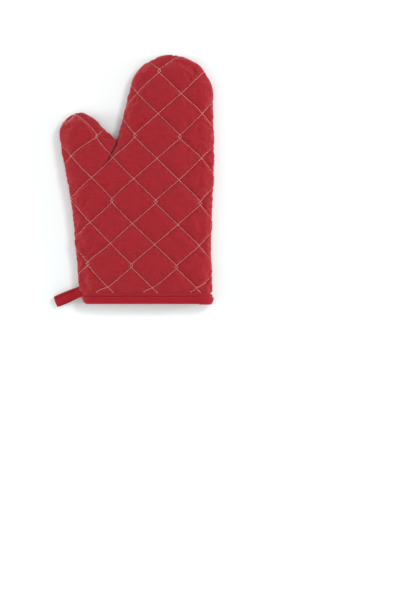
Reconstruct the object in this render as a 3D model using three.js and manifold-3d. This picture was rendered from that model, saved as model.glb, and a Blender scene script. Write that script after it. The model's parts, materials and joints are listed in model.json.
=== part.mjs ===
// A quilted cotton oven mitt, lying flat with its front panel up.
//
// Millimetres, +Z up. The pattern is drawn in its own plan: x = 0 is the middle of the cuff, y = 0 is
// the lower edge of the cuff and +y runs towards the fingertips. The height z = 0 is the side seam,
// where the front panel and the back panel meet. The finished group is then moved so that its origin
// is the middle of the bottom of its bounding box.
import * as THREE from 'three';
import { mergeVertices } from 'three/addons/utils/BufferGeometryUtils.js';
import Module from 'manifold-3d';

const wasm = await Module();
wasm.setup();

// ---------------------------------------------------------------- driving dimensions

const CUFF_HALF_WIDTH = 75.5;
const FINGER_TIP = { x: 27.5, y: 232.5, radius: 47.5 };
const THUMB_TIP = { x: -75.1, y: 193.5, radius: 22.1 };
const CROTCH = { x: -33.4, y: 182.3, fillet: 3.5 };
const WAIST_TOP = 165; // height on the pattern where the right side starts to draw in
// Control points of the two long sides: the right one bows in above the cuff, the left one runs up to
// the thumb.
const RIGHT_SIDE = { waist: 68.5, low: 60, high: 120 };
const LEFT_SIDE = { high: 160, hip: -78, low: 120 };
const BEYOND_CUFF = -30; // the pattern runs on past the cuff and is then cut off square
const CURVE_STEPS = 5; // straight steps in each curve of the outline, twice as many in an arc
const ROUND_STEPS = 12; // sides of the loop's round root
const WELD = 1e-4; // corners nearer than this are one corner

const FRONT_RISE = 17; // seam to the top of the front panel
const BACK_DROP = 11; // seam to the flat underside of the back panel
const ROLL = 18; // plan width of the rounded edge of each panel
const ROLL_STEPS = 3;
const EDGE = 1.5; // half height of the upright edge at the seam
const SEAM_GAP = 0.6; // each panel stops this far from the seam plane
const CLEAR = 0.3; // gap between pieces that touch

// Depth of each layer below the outer surface: over the body, and squeezed inside the cuff binding.
const LAYERS = {
  shell: { body: [0, 1.8], cuff: [1.5, 2.6], bodyStart: 11.7, cuffEnd: 13.3 },
  wadding: { body: [2.1, 5.1], cuff: [2.9, 4.3], bodyStart: 13.6, cuffEnd: 15 },
  lining: { body: [5.4, 6.4], cuff: [4.6, 5.9], bodyStart: 11.7, cuffEnd: 12.5 },
};
const LAYER_START = 2; // the layers stop short of the fold of the binding

const BINDING = { width: 11.4, fold: 1.7, outer: [0, 1.2], inner: [6.2, 7.4] };

const THREAD = 0.6; // width of a line of stitches
const THREAD_DEPTH = [0.3, 0.8];
const GROOVE = 1.2; // width of the furrow that a line of stitches pulls into the cloth
const GROOVE_DEPTH = 1.1;
const OUTSIDE = -1; // a depth well outside the surface, where a cut starts

// The quilting: two sets of parallel lines that cross as diamonds.
const QUILT = { x: -13, y: 188.7, halfWidth: 25.3, halfHeight: 24.5, turn: -1.5, lines: 9 };

const BINDING_STITCH = { y: 8.5, groove: 0.9, thread: [0.25, 0.6] };

const TAPE = 1.3; // thickness of one leg of the folded tape
const TAPE_WIDTH = 12;
const LOOP = { x: -77.9, y: 12.6, length: 27.5, gap: 7.2, holeStart: 4, swing: 21.5, droop: 13 };
const LOOP_STEPS = 6;
// The stitching of the folded tape, "offset" from its middle towards its upper edge.
const LOOP_STITCH = { offset: 3, groove: 0.95, thread: [0.3, 0.65] };
const LOOP_ENDS = { from: -76.2, to: -70.9 };
const SEAM_THREAD_START = 22; // just above the sewn-in ends of the loop

const FAR = 400; // longer than the mitt, for cutting boxes

// ---------------------------------------------------------------- solids

const degrees = THREE.MathUtils.degToRad;

function solid(geometry) {
  geometry.deleteAttribute('normal');
  geometry.deleteAttribute('uv');
  const merged = mergeVertices(geometry, WELD);
  const mesh = new wasm.Mesh({
    numProp: 3,
    vertProperties: new Float32Array(merged.attributes.position.array),
    triVerts: new Uint32Array(merged.index.array),
  });
  return new wasm.Manifold(mesh);
}

function block(x, y, z) {
  const geometry = new THREE.BoxGeometry(x[1] - x[0], y[1] - y[0], z[1] - z[0]);
  geometry.translate((x[0] + x[1]) / 2, (y[0] + y[1]) / 2, (z[0] + z[1]) / 2);
  return solid(geometry);
}

const between = (low, high) => block([-FAR, FAR], [low, high], [-FAR, FAR]);

const side = (front) => block([-FAR, FAR], [-FAR, FAR], front ? [SEAM_GAP, FAR] : [-FAR, -SEAM_GAP]);

function largestPart(shape) {
  const parts = shape.decompose();
  parts.sort((a, b) => b.volume() - a.volume());
  return parts[0];
}

function mesh(name, shape, color, roughness) {
  const { vertProperties, triVerts } = shape.getMesh();
  const geometry = new THREE.BufferGeometry();
  geometry.setAttribute('position', new THREE.BufferAttribute(vertProperties, 3));
  geometry.setIndex(new THREE.BufferAttribute(triVerts, 1));
  geometry.computeVertexNormals();
  const material = new THREE.MeshStandardMaterial({ color, roughness, metalness: 0 });
  const result = new THREE.Mesh(geometry, material);
  result.name = name;
  return result;
}

// ---------------------------------------------------------------- the pattern

function onCircle(circle, angle) {
  const turn = degrees(angle);
  return [circle.x + circle.radius * Math.cos(turn), circle.y + circle.radius * Math.sin(turn)];
}

// The outline of both panels, anticlockwise from the right end of the cuff.
function pattern() {
  const thumbShoulder = 45; // where the thumb's right side leaves the round of its tip
  const fingerShoulder = 167;
  const [shoulderX, shoulderY] = onCircle(THUMB_TIP, thumbShoulder);
  const [sideX, sideY] = onCircle(FINGER_TIP, fingerShoulder);
  const toFinger = new THREE.Vector2(sideX - CROTCH.x, sideY - CROTCH.y).setLength(CROTCH.fillet);
  const toThumb = new THREE.Vector2(shoulderX - CROTCH.x, shoulderY - CROTCH.y).setLength(CROTCH.fillet);

  const shape = new THREE.Shape();
  shape.moveTo(CUFF_HALF_WIDTH, BEYOND_CUFF);
  shape.lineTo(CUFF_HALF_WIDTH, 0);
  shape.bezierCurveTo(
    RIGHT_SIDE.waist, RIGHT_SIDE.low,
    CUFF_HALF_WIDTH, RIGHT_SIDE.high,
    CUFF_HALF_WIDTH, WAIST_TOP,
  );
  shape.absarc(FINGER_TIP.x, FINGER_TIP.y, FINGER_TIP.radius, 0, degrees(fingerShoulder));
  shape.lineTo(CROTCH.x + toFinger.x, CROTCH.y + toFinger.y);
  shape.quadraticCurveTo(CROTCH.x, CROTCH.y, CROTCH.x + toThumb.x, CROTCH.y + toThumb.y);
  shape.absarc(THUMB_TIP.x, THUMB_TIP.y, THUMB_TIP.radius, degrees(thumbShoulder), Math.PI);
  shape.bezierCurveTo(
    THUMB_TIP.x - THUMB_TIP.radius, LEFT_SIDE.high,
    LEFT_SIDE.hip, LEFT_SIDE.low,
    -CUFF_HALF_WIDTH, 0,
  );
  shape.lineTo(-CUFF_HALF_WIDTH, BEYOND_CUFF);
  return shape;
}

// The pattern as a cushion with rounded edges, drawn in by "inset" on every side.
function cushion(inset, rise) {
  const geometry = new THREE.ExtrudeGeometry(pattern(), {
    depth: 2 * EDGE,
    bevelThickness: rise - EDGE - inset,
    bevelSize: ROLL - inset,
    bevelOffset: -ROLL,
    bevelSegments: ROLL_STEPS,
    curveSegments: CURVE_STEPS,
  });
  geometry.translate(0, 0, -EDGE);
  return solid(geometry);
}

// The whole mitt drawn in by "inset": a high front half on a shallow back half.
function body(inset) {
  const overlap = EDGE / 2;
  const front = cushion(inset, FRONT_RISE).intersect(block([-FAR, FAR], [-FAR, FAR], [-overlap, FAR]));
  const back = cushion(inset, BACK_DROP).intersect(block([-FAR, FAR], [-FAR, FAR], [-FAR, overlap]));
  return front.add(back);
}

const wall = ([from, to]) => body(from).subtract(body(to));

// ---------------------------------------------------------------- the hanging loop

// Half the thickness of the folded tape, which opens out from the seam towards its fold.
function loopHalfThickness(along) {
  return TAPE + (LOOP.gap / 2) * THREE.MathUtils.smoothstep(along, 0, LOOP.length - loopRadius());
}

function loopRadius() {
  return TAPE + LOOP.gap / 2;
}

// Points along one leg, "depth" below its outer face, from the seam to where the fold begins.
function legPoints(depth, start = 0) {
  const end = LOOP.length - loopRadius();
  const points = [];
  for (let step = 0; step <= LOOP_STEPS; step += 1) {
    const along = start + ((end - start) * step) / LOOP_STEPS;
    points.push(new THREE.Vector2(along, loopHalfThickness(along) - depth));
  }
  return points;
}

const mirrored = (points) => points.map((point) => new THREE.Vector2(point.x, -point.y)).reverse();

// The tape seen from its edge: out along the upper leg, round the fold, back along the lower leg.
function loopProfile(depth, start) {
  const leg = legPoints(depth, start);
  const shape = new THREE.Shape(mirrored(leg).reverse());
  shape.absarc(LOOP.length - loopRadius(), 0, loopRadius() - depth, -Math.PI / 2, Math.PI / 2);
  leg.reverse().forEach((point) => shape.lineTo(point.x, point.y));
  return shape;
}

function legStrip(outer, inner) {
  return new THREE.Shape([...legPoints(outer), ...legPoints(inner).reverse()]);
}

// Carries a profile drawn from the tape's edge to its place beside the cuff.
function placeAtSeam(geometry) {
  const basis = new THREE.Matrix4().makeBasis(
    new THREE.Vector3(-1, 0, 0),
    new THREE.Vector3(0, 0, 1),
    new THREE.Vector3(0, 1, 0),
  );
  geometry.applyMatrix4(basis);
  geometry.rotateZ(degrees(LOOP.swing));
  geometry.rotateY(degrees(-LOOP.droop));
  geometry.translate(LOOP.x, LOOP.y, 0);
  return solid(geometry);
}

function tapeSlice(shape, width, middle = 0) {
  const geometry = new THREE.ExtrudeGeometry(shape, {
    depth: width,
    bevelEnabled: false,
    curveSegments: CURVE_STEPS,
  });
  geometry.translate(0, 0, middle - width / 2);
  return placeAtSeam(geometry);
}

// The round root of the loop, which turns on the seam.
function loopRoot() {
  const length = TAPE_WIDTH / Math.cos(degrees(LOOP.swing));
  const geometry = new THREE.CylinderGeometry(TAPE, TAPE, length, ROUND_STEPS);
  geometry.translate(LOOP.x, LOOP.y, 0);
  return solid(geometry);
}

function loopStub() {
  const geometry = new THREE.BoxGeometry(2 * TAPE_WIDTH, 2 * TAPE, TAPE_WIDTH);
  return placeAtSeam(geometry);
}

function hangingLoop() {
  const furrow = tapeSlice(legStrip(-TAPE, LOOP_STITCH.groove), GROOVE, LOOP_STITCH.offset);
  const right = block([LOOP.x, FAR], [-FAR, FAR], [-FAR, FAR]);
  const outside = tapeSlice(loopProfile(0, 0), TAPE_WIDTH);
  const inside = tapeSlice(loopProfile(TAPE, LOOP.holeStart), 2 * TAPE_WIDTH);
  const stub = loopStub().intersect(block([LOOP.x - TAPE_WIDTH / 2, LOOP.x], [-FAR, FAR], [-FAR, FAR]));
  return outside.add(stub).subtract(inside).subtract(furrow).subtract(right).add(loopRoot());
}

function loopStitching() {
  const [top, bottom] = LOOP_STITCH.thread;
  const line = tapeSlice(legStrip(top, bottom), THREAD, LOOP_STITCH.offset);
  return line.subtract(block([LOOP.x - TAPE - CLEAR, FAR], [-FAR, FAR], [-FAR, FAR]));
}

// The two raw ends of the tape, held between the panels in the side seam.
function loopEnds(grow = 0) {
  const geometry = new THREE.BoxGeometry(4 * TAPE_WIDTH, TAPE_WIDTH + 2 * grow, 2 * (TAPE + grow));
  geometry.rotateZ(degrees(LOOP.swing));
  geometry.translate(LOOP.x, LOOP.y, 0);
  const inSeam = block([LOOP_ENDS.from - grow, LOOP_ENDS.to + grow], [-FAR, FAR], [-FAR, FAR]);
  return solid(geometry).intersect(inSeam);
}

// ---------------------------------------------------------------- the quilting

// Upright sheets along every line of quilting stitches, "width" thick.
function quiltSheets(width) {
  const slope = Math.atan2(QUILT.halfHeight, QUILT.halfWidth);
  const pitch = 2 * QUILT.halfWidth * Math.sin(slope);
  const sheets = [];
  for (const lean of [slope, -slope]) {
    for (let line = -QUILT.lines; line <= QUILT.lines; line += 1) {
      const geometry = new THREE.BoxGeometry(2 * FAR, width, 2 * FAR);
      geometry.translate(0, line * pitch, 0);
      geometry.rotateZ(lean + degrees(QUILT.turn));
      geometry.translate(QUILT.x, QUILT.y, 0);
      sheets.push(solid(geometry));
    }
  }
  return wasm.Manifold.union(sheets);
}

// The part of one panel that is quilted: clear of the seam and of the binding.
function quiltedField(front, margin) {
  const low = SEAM_GAP + CLEAR + margin;
  const height = front ? [low, FAR] : [-FAR, -low];
  return block([-FAR, FAR], [LAYERS.shell.cuffEnd + margin, FAR], height);
}

function quiltFurrows(front) {
  const skin = wall([OUTSIDE, GROOVE_DEPTH]);
  return quiltSheets(GROOVE).intersect(quiltedField(front, 0)).intersect(skin);
}

function quiltingThread(front) {
  const lines = quiltSheets(THREAD).intersect(quiltedField(front, CLEAR)).intersect(wall(THREAD_DEPTH));
  return largestPart(lines);
}

// ---------------------------------------------------------------- the panels, the binding and the seam

function layer(name, front) {
  const { body: over, cuff, bodyStart, cuffEnd } = LAYERS[name];
  const main = wall(over).intersect(between(bodyStart, FAR));
  const squeezed = wall(cuff).intersect(between(LAYER_START, cuffEnd));
  return main.add(squeezed).intersect(side(front)).subtract(loopEnds(CLEAR));
}

function shell(front) {
  return layer('shell', front).subtract(quiltFurrows(front));
}

// A ring round the cuff at the height of the binding's stitches.
function stitchRing(width, depth) {
  return wall(depth).intersect(between(BINDING_STITCH.y - width / 2, BINDING_STITCH.y + width / 2));
}

function cuffBinding() {
  const outer = wall(BINDING.outer).intersect(between(0, BINDING.width));
  const inner = wall(BINDING.inner).intersect(between(0, BINDING.width));
  const fold = wall([BINDING.outer[0], BINDING.inner[1]]).intersect(between(0, BINDING.fold));
  const furrow = stitchRing(GROOVE, [OUTSIDE, BINDING_STITCH.groove]);
  return outer.add(inner).add(fold).subtract(furrow).subtract(loopEnds(CLEAR));
}

function bindingThread() {
  return stitchRing(THREAD, BINDING_STITCH.thread).subtract(loopEnds(CLEAR));
}

function sideSeamThread() {
  const flat = block([-FAR, FAR], [LAYERS.shell.cuffEnd + CLEAR, FAR], [-THREAD / 2, THREAD / 2]);
  const besideLoop = block([-FAR, 0], [-FAR, SEAM_THREAD_START], [-FAR, FAR]);
  return wall(THREAD_DEPTH).intersect(flat).subtract(besideLoop);
}

// ---------------------------------------------------------------- the mitt

const RED = 0xa52d33;
const CRIMSON = 0xa1242e;
const ECRU = 0xd9cdb6;
const WHITE_FIBRE = 0xe9e6df;
const PINK_THREAD = 0xd9a9a4;
const RED_THREAD = 0x9a2430;

const mitt = new THREE.Group();
for (const [suffix, front] of [['front', true], ['back', false]]) {
  mitt.add(mesh(`shell_${suffix}`, shell(front), RED, 0.9));
  mitt.add(mesh(`wadding_${suffix}`, layer('wadding', front), WHITE_FIBRE, 1));
  mitt.add(mesh(`lining_${suffix}`, layer('lining', front), ECRU, 0.95));
  mitt.add(mesh(`quilting_thread_${suffix}`, quiltingThread(front), PINK_THREAD, 0.7));
}
mitt.add(mesh('side_seam_thread', sideSeamThread(), RED_THREAD, 0.7));
mitt.add(mesh('cuff_binding', cuffBinding(), CRIMSON, 0.85));
mitt.add(mesh('binding_thread', bindingThread(), RED_THREAD, 0.7));
mitt.add(mesh('loop_sewn_ends', loopEnds(), CRIMSON, 0.85));
mitt.add(mesh('hanging_loop', hangingLoop(), CRIMSON, 0.85));
mitt.add(mesh('loop_thread', loopStitching(), RED_THREAD, 0.7));

const bounds = new THREE.Box3().setFromObject(mitt);
const middle = bounds.getCenter(new THREE.Vector3());
mitt.position.set(-middle.x, -middle.y, -bounds.min.z);

const model = new THREE.Group();
model.add(mitt);

export default model;
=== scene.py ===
"""The looks of a quilted cotton oven mitt that lies flat on its back panel.

Everything is in metres. The pattern of the mitt has its own plan: x = 0 is the middle of the cuff,
y = 0 is the lower edge of the cuff and +y runs towards the fingertips. z = 0 is the side seam.
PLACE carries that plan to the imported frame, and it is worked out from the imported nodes.

Each panel starts as a rolled form over the pattern. Every layer lies at its own depth below that
form, measured along its normals, so that the layers never cross. settled() then bends all of them
together to the way the mitt lies.
"""
import json
import math
import random

import bpy
import numpy as np
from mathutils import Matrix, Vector, noise
from mathutils.bvhtree import BVHTree
from mathutils.geometry import delaunay_2d_cdt


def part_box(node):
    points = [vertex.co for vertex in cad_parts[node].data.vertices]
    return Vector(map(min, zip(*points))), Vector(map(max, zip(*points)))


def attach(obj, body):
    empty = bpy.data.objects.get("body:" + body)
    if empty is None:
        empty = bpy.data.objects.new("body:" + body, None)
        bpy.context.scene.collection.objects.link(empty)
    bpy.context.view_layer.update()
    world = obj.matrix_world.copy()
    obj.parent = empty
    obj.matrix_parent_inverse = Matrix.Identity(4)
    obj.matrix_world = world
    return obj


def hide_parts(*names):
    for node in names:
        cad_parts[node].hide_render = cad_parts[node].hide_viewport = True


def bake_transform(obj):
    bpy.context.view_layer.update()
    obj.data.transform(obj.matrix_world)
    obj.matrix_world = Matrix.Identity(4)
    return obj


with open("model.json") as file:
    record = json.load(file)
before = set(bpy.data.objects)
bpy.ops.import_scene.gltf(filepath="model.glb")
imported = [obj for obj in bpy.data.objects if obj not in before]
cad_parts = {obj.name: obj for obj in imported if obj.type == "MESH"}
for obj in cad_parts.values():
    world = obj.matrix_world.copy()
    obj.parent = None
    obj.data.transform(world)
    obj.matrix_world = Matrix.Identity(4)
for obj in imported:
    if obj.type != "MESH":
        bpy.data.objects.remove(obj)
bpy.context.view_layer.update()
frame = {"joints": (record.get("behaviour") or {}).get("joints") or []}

rng = random.Random(7)

# ---- the pattern's sizes

CUFF_HALF = 0.0755
FINGER_TIP = (0.0275, 0.2325)
FINGER_RADIUS = 0.0475
FINGER_SIDE = 167.0  # degrees round the fingertip at which its left side begins
THUMB_TIP = (-0.0751, 0.1935)
THUMB_RADIUS = 0.0221
THUMB_SHOULDER = 45.0  # degrees round the thumb's tip at which its right side begins
CROTCH = (-0.0334, 0.1823)
CROTCH_RADIUS = 0.0022
WAIST_TOP = 0.165
WAIST_BOW = 0.007  # how far the control point of the right side is drawn in
RIGHT_CONTROL = (0.06, 0.12)  # heights of the right side's control points
LEFT_CONTROL = (0.16, 0.12)  # and of the left side's, from the thumb down
HIP = -0.078  # the left side's lower control point
SIDES_TOP = 0.05  # the stretch of both sides that lies beside the cuff ends here

# ---- how the mitt lies

ROLL = 0.018  # plan width of the rounded edge
FRONT_RISE = 0.0135  # height of the rounded edge of the front panel above the seam
BACK_DROP = 0.011
CROWN = 0.003  # how much further the middle of the front panel rises
CROWN_REACH = 0.055
PANEL_START = 0.002  # the padded layers stop this far inside the fold of the binding

CORNER_LEFT, CORNER_RIGHT = 0.0085, 0.0045  # how round the lower corners of the cuff lie
CORNER_TOP = 0.0125  # the rounding of the corners has died out here
TUCK = 0.0022  # how far the left end of the cuff is drawn in
TUCK_REACH = 0.012
TUCK_TOP = (0.0105, 0.004)  # where this begins to die out, and over what height
SWELL = 0.0010  # how far the left side stands out above the cuff
SWELL_AT = (0.068, 0.036)  # its middle and its reach
SWELL_WIDTH = 0.014

# Where the outline lies a little off the pattern: a place, its reach and the move there.
OUTLINE_MOVES = [
    ((-0.0864, 0.2078), 0.0085, (0.001088, -0.001309)),  # the thumb's upper left is flat
    ((-0.0650, 0.2130), 0.0080, (-0.0007, -0.001204)),  # so is its upper right
]

CREASE = ((-0.0330, 0.1840), (-0.0385, 0.1712), (-0.0430, 0.1635), (-0.0490, 0.1530))
CREASE_DEPTH = 0.0070
CREASE_WIDTH = 0.0024
CREASE_START = 0.12  # the share of its length over which it deepens
CREASE_BEHIND = 0.4  # the share of its depth that shows on the back panel
CREASE_FALL = 0.78  # the share of its height above the seam that the cloth loses in the crease
CREASE_PINCH = 0.0009  # how far each side closes over the crease
PINCH_NEAR, PINCH_FAR = 0.0016, 0.008  # between these distances from the crease
CREASE_NARROW = 0.0012  # width of the fall at the crotch; it is twice that at the end

# ---- the layers

FINE = 0.0009  # mesh size of the visible cloth
COARSE = 0.0024  # mesh size of the cloth that is simulated, and of hidden layers

CLOTH = 0.0005  # thickness of the shell cloth and of the lining
LAYER_GAP = 0.0003  # between two layers
LEAST_WADDING = 0.0008
LINING_DEPTH = 0.0057  # outer face of the lining below the form, between the stitches
STITCHED_DEPTH = 0.0046  # the same where the stitches hold the layers together
BOUND = {"shell": 0.00175, "lining": 0.0043}  # depths inside the binding

SEAM_GROOVE = (0.0006, 0.0010)  # depth and width
FULLNESS = 0.0009  # how far the rolled edge stands out
FULLNESS_AT = (0.0035, 0.0040)  # in from the seam, and its reach
LEAN_FINGERS = 0.8  # the share of that fullness which is missing round the fingers
LEAN_FROM = (0.185, 0.030)  # where the fingers begin, and the stretch over which it goes
PUCKER = (0.00009, 0.0034)  # height and size of the fine puckers along the stitches
PUCKER_REACH = 0.004  # from the stitches
DENT = (0.00028, 0.028)  # height and size of the wide dents in the padding
TAPE_GROOVE = 0.0014  # depth of the groove where the cloth goes under the binding
TAPE_GROOVE_AT = (0.0009, 0.0012)  # its height above the binding, and its width
TABLE_GAP = 0.00005

SEAM_SLACK = 0.00025  # half the gap between the panels at the seam
LOOP_SLACK = 0.0011  # how much wider it is where the tape comes out
SLACK_REACH = 0.004

# ---- the quilting

QUILT_ORIGIN = (-0.013, 0.1887)  # a crossing in a row where the quilting threads turn back
QUILT_STEP = (0.0253, 0.0245)  # half a diamond, across and up
QUILT_TURN = math.radians(-1.5)
QUILT_RUN = 3  # half diamonds between two turns of a thread
QUILT_OVERSHOOT = 0.0020
QUILT_NEEDLES = range(-4, 5)
QUILT_ROWS = range(-4, 3)
CHANNEL = 0.0031  # how deep the stitches pull the cloth in
CHANNEL_AT_SEAM = 0.15  # the share of that depth which is left at the side seam
CHANNEL_EDGE = 0.014  # in from the seam the channels have their full depth
CHANNEL_WIDTH = 0.0012
START_WIDTH = 0.0035  # the same before it is blown up
START_DEPTH = 0.0006  # it then lies this much deeper all over, from START_REACH in
START_REACH = 0.006
PUFF_LIMITS = (-0.0004, CHANNEL + 0.0006)  # the depths that it keeps to
LAST_FRAME = 20  # of the blowing up
LINING_PUFF = 0.006  # how quickly the lining falls away from the stitches
STITCH_PITCH = 0.0026
THREAD = 0.00034  # thickness of a quilting stitch
STITCH_SIDES = 6
# Rings along a stitch: the share of its length from the middle, and of its thickness.
STITCH_RINGS = [(-0.5, 0.25), (-0.42, 0.7), (-0.2, 1.0), (0.2, 1.0), (0.42, 0.7), (0.5, 0.25)]

# The quilting is not quite regular. Near some places its lines lie off by a small move.
QUILT_MOVES = [
    ((-0.066, 0.206), 0.022, (0.0090, -0.0028)),  # the crotch gathers the thumb's cloth
    ((-0.075, 0.214), 0.014, (0.0015, 0.0040)),  # the thumb's tip
    ((0.066, 0.264), 0.017, (0.0064, 0.0059)),  # the shoulder of the fingers
]
THUMB_SIDE_MOVE = 0.0032  # to the right, up the thumb's side
CUFF_LIFT = 0.0012  # upwards, near the cuff
CUFF_LIFT_LEFT = 0.0015  # and further at its left end
RIGHT_LIFT = 0.0018  # upwards, along the right side
DRAG = (-0.0030, 0.0029)  # as the binding was sewn on

# ---- the binding and the loop

BINDING_TOP = 0.0114
BINDING_STITCH_Y = 0.0085
BINDING_STITCH_DEPTH = 0.0016
EDGE_STITCH = (STITCH_PITCH * 0.8, 0.0006, 0.00045)  # length, width and height
LAP_START = 0.0585  # the tape's end laps over its beginning from here to the right
LAP_LENGTH = 0.0015  # of the step up onto the lap
LAP_HEIGHT = 0.0005
LAP_STEP = 0.0007  # how much lower its bottom fold lies
EDGE_WAVE = 0.0003  # how uneven the tape's upper edge is
FACE_WAVE = 0.00015  # and its face
FOLD_HEIGHT = 0.004  # the fold at the bottom takes up this much
STITCH_PULL = 0.00012  # how far each stitch draws the tape in

# The folded tape round the cuff's edge, as height up the cuff and depth below the form.
BINDING_SECTION = [
    (0.0112, 0.0027), (0.0116, 0.0023), (0.0112, 0.0018), (0.0103, 0.0012), (0.0092, 0.0012),
    (0.0085, 0.0018), (0.0079, 0.0009), (0.0066, 0.0003), (0.0040, 0.0002), (0.0018, 0.0008),
    (0.0004, 0.0022), (0.0000, 0.0036), (0.0004, 0.0050), (0.0020, 0.0062), (0.0060, 0.0064),
    (0.0085, 0.0058), (0.0104, 0.0061), (0.0110, 0.0056), (0.0100, 0.0051), (0.0050, 0.0050),
    (0.0014, 0.0046), (0.0012, 0.0032), (0.0014, 0.0019), (0.0050, 0.0016),
]
RUN_POINT = 8  # the tape's length is measured along this point of its smoothed section

SEAM_STITCH = (0.0021, 0.0007, 0.0005)
SEAM_STITCH_DEPTH = 0.00135
SEAM_STITCH_LEAN = 0.35

TAPE_WIDTH = 0.012
TAPE = 0.0011
LOOP_LENGTH = 0.0275
LOOP_GAP = 0.0052
LOOP_BURIED = 0.0052  # how far the tape goes on inside the seam
LOOP_SWING = math.radians(21.5)
LOOP_DROOP = math.radians(13)
LOOP_POINTS = 40  # along each leg
LOOP_FOLD_POINTS = 14
UPPER_BELLY = 0.0006  # how far the middle of the upper leg stands out
LOWER_LESS = 0.0004  # how much less the lower one does
LOOP_ENDS = (-LOOP_BURIED - 0.0003, -LOOP_BURIED - 0.0050)  # the raw ends reach from here to there
WAVER = (0.0003, 0.009)  # how far the tape wavers to its side, and how quickly
BOW = 0.0005  # how far the middle of the tape stands out
BOW_START = 0.01  # out from the seam it has its full height
STITCH_ACROSS = 0.48  # of half the tape's width
STITCH_LIFT = 0.4  # of half the tape's thickness, above its middle
LOOP_STITCH = (STITCH_PITCH * 0.72, 0.0006, 0.00045)
ASIDE = 0.001  # a short step, for finding directions

# The folded tape's section: across the tape and through it, in halves of its width and thickness.
# Its long folded edge is the +1 side.
TAPE_SECTION = [
    (-1.0, 0.0), (-0.97, 0.75), (-0.85, 1.0), (-0.40, 0.92), (0.10, 0.95), (0.34, 1.0),
    (0.48, 0.20), (0.62, 1.0), (0.80, 1.05), (0.96, 0.80), (1.0, 0.0), (0.96, -0.8),
    (0.80, -1.0), (0.0, -0.9), (-0.85, -1.0), (-0.97, -0.75),
]

# ---- colours and the picture

SHELL_RED = (0.300, 0.0106, 0.0166)
TAPE_RED = (0.316, 0.0064, 0.0152)
ECRU = (0.76, 0.69, 0.57)
FIBRE_WHITE = (0.82, 0.80, 0.74)
THREAD_PINK = (0.86, 0.58, 0.55)
THREAD_RED = (0.15, 0.004, 0.008)
RED_NAP = (1.0, 0.28, 0.32)
PALE_NAP = (1.0, 0.95, 0.85)
FLOOR_WHITE = (0.87, 0.915, 0.915, 1)
YARN_PITCH = 0.0005
YARN_ROUGHNESS = 0.85

# The picture: its centre from the middle of the cuff's edge, and its height.
VIEW_CENTRE = (0.0605, 0.004)
VIEW_HEIGHT = 0.676
VIEW_DISTANCE = 2.6
FLOOR_REACH = 6.0

LAMP_DISTANCE = 2.4
# Each lamp: its name, bearing from +x and height in degrees, width and power.
LAMPS = [
    ("key", 36, 54, 0.7, 17.0),
    ("right", 0, 17, 1.0, 32.0),
    ("left", 180, 17, 1.0, 32.0),
    ("overhead", 270, 79, 2.2, 12.8),
]
SKY = 0.55

# ---- the frame

shell_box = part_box("shell_front")
binding_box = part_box("cuff_binding")
seam_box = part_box("side_seam_thread")
PLACE = np.array(
    [shell_box[1][0] - CUFF_HALF, binding_box[0][1], (seam_box[0][2] + seam_box[1][2]) / 2]
)
hinge = np.array(frame["joints"][0]["pos_m"]) - PLACE

# ---- small helpers


def smooth(t):
    t = np.clip(t, 0.0, 1.0)
    return t * t * (3 - 2 * t)


def ramp(value, start, length):
    """A smooth rise from 0 at start to 1 a length further."""
    return smooth((value - start) / length)


def bell(distance, width):
    return np.exp(-((distance / width) ** 2))


def unit(vectors):
    vectors = np.asarray(vectors, float)
    return vectors / np.maximum(np.linalg.norm(vectors, axis=-1, keepdims=True), 1e-12)


def noise_at(points, size, seed=0.0):
    """Smooth noise between about -1 and 1, with features of the given size."""
    shift = Vector((seed, 2.3 * seed, -1.7 * seed))
    return np.array([noise.noise(Vector(p) / size + shift) for p in points.tolist()])


def to_segments(points, starts, stops, block=4000):
    """Distance in plan from each point to the nearest of the segments."""
    run = stops - starts
    square = np.maximum((run**2).sum(1), 1e-18)
    nearest = []
    for first in range(0, len(points), block):
        offset = points[first : first + block, None, :] - starts[None]
        along = np.clip((offset * run).sum(2) / square, 0, 1)
        gap = offset - along[..., None] * run
        nearest.append(np.sqrt((gap**2).sum(2)).min(1))
    return np.concatenate(nearest)


def between(p, t):
    """A point of the Catmull-Rom curve between the middle two of four points."""
    level = 2 * p[1]
    slope = (p[2] - p[0]) * t
    bend = (2 * p[0] - 5 * p[1] + 4 * p[2] - p[3]) * t**2
    twist = (3 * p[1] - p[0] - 3 * p[2] + p[3]) * t**3
    return 0.5 * (level + slope + bend + twist)


def spline(points, steps, closed=False):
    """A smooth curve through the points (Catmull-Rom)."""
    points = np.asarray(points, float)
    count = len(points)
    result = []
    for i in range(count if closed else count - 1):
        around = [i - 1, i, i + 1, i + 2]
        if closed:
            p = [points[k % count] for k in around]
        else:
            p = [points[min(max(k, 0), count - 1)] for k in around]
        result += [between(p, t) for t in np.arange(steps) / steps]
    if not closed:
        result.append(points[-1])
    return np.array(result)


def moves_at(x, y, moves):
    """How far each place moves, across and up: the sum of some local moves."""
    total = np.zeros((len(x), 2))
    for (at_x, at_y), reach, move in moves:
        share = bell(np.hypot(x - at_x, y - at_y), reach)
        total += share[:, None] * np.array(move)
    return total


def corner_lift(inside, radius):
    """How far a rounded corner stands above the straight edge, at a distance in from its side."""
    gap = np.clip(radius - inside, 0, radius)
    return radius - np.sqrt(radius**2 - gap**2)


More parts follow.
